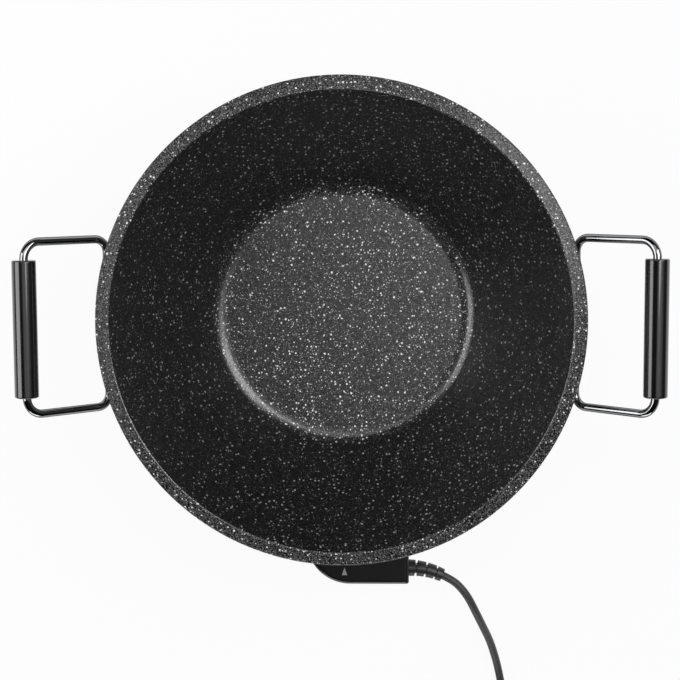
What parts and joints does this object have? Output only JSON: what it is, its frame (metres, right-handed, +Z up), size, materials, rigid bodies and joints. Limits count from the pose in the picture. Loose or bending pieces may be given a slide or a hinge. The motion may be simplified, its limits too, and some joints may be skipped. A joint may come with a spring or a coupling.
{
  "type": "electric wok",
  "caption": "Round electric wok with a speckled non-stick bowl on a plastic base, two wire handles with tubular grips, and a plug-in thermostat controller on a mains lead.",
  "frame": {"origin": "on the surface that the feet stand on, on the bowl's axis", "axes": "+Z up along the bowl's axis, +X from handle to handle, -Y towards the controller"},
  "size_m": [0.4646, 0.601, 0.191],
  "materials": {
    "bowl_coating": "die-cast aluminium with a dark stone-effect non-stick coating, light speckles",
    "base_plastic": "black heat-resistant moulding, fine grain",
    "grip_plastic": "glossy black heat-resistant plastic",
    "handle_chrome": "polished chromium-plated steel wire",
    "bracket_steel": "satin stainless sheet",
    "fastener_steel": "zinc-plated steel",
    "shield_steel": "pressed aluminised steel sheet",
    "element_steel": "stainless element sheath",
    "contact_metal": "nickel-plated brass",
    "ceramic": "white steatite ceramic",
    "foot_rubber": "matt black rubber",
    "controller_plastic": "black moulding, satin",
    "dial_plastic": "black moulding with white scale",
    "phenolic": "brown phenolic moulding",
    "lens_red": "clear red plastic",
    "lamp_glass": "neon lamp glass",
    "cord_rubber": "matt black cord sheath",
    "plug_plastic": "black moulded plug"
  },
  "bodies": {
    "wok": {"wok_bowl": "bowl_coating", "heating_element": "element_steel", "element_pins": "contact_metal", "ceramic_bushes": "ceramic", "inlet_shroud": "base_plastic", "shroud_screws": "fastener_steel", "earth_contact": "contact_metal", "earth_screw": "fastener_steel", "base_ring": "base_plastic", "heat_shield": "shield_steel", "base_screws": "fastener_steel", "rubber_feet": "foot_rubber", "handle_bracket_right": "bracket_steel", "handle_bracket_left": "bracket_steel", "handle_wire_right": "handle_chrome", "handle_wire_left": "handle_chrome", "grip_right": "grip_plastic", "grip_left": "grip_plastic", "bracket_screws": "fastener_steel"},
    "controller": {"controller_upper_case": "controller_plastic", "controller_lower_case": "controller_plastic", "controller_screws": "fastener_steel", "contact_carrier": "phenolic", "contact_sleeves": "contact_metal", "thermostat_probe": "element_steel", "thermostat_switch": "phenolic", "terminal_block": "ceramic", "pilot_lens": "lens_red", "pilot_lamp": "lamp_glass", "cord_clamp": "controller_plastic", "inner_cord": "cord_rubber", "strain_relief": "cord_rubber", "power_cord": "cord_rubber", "cord_coil": "cord_rubber", "cord_tail": "cord_rubber", "mains_plug": "plug_plastic", "plug_pins": "contact_metal", "plug_earth_clips": "contact_metal"},
    "dial": {"dial": "dial_plastic", "dial_spindle": "fastener_steel"}
  },
  "joints": [
    {"name": "controller_unplug", "type": "slide", "parent": "wok", "child": "controller", "axis": [0, -1, 0], "range_m": [0, 0.09]},
    {"name": "dial_turn", "type": "hinge", "parent": "controller", "child": "dial", "pos_m": [0, -0.181, 0.065], "axis": [0, 0, -1], "range_deg": [0, 270]}
  ]
}
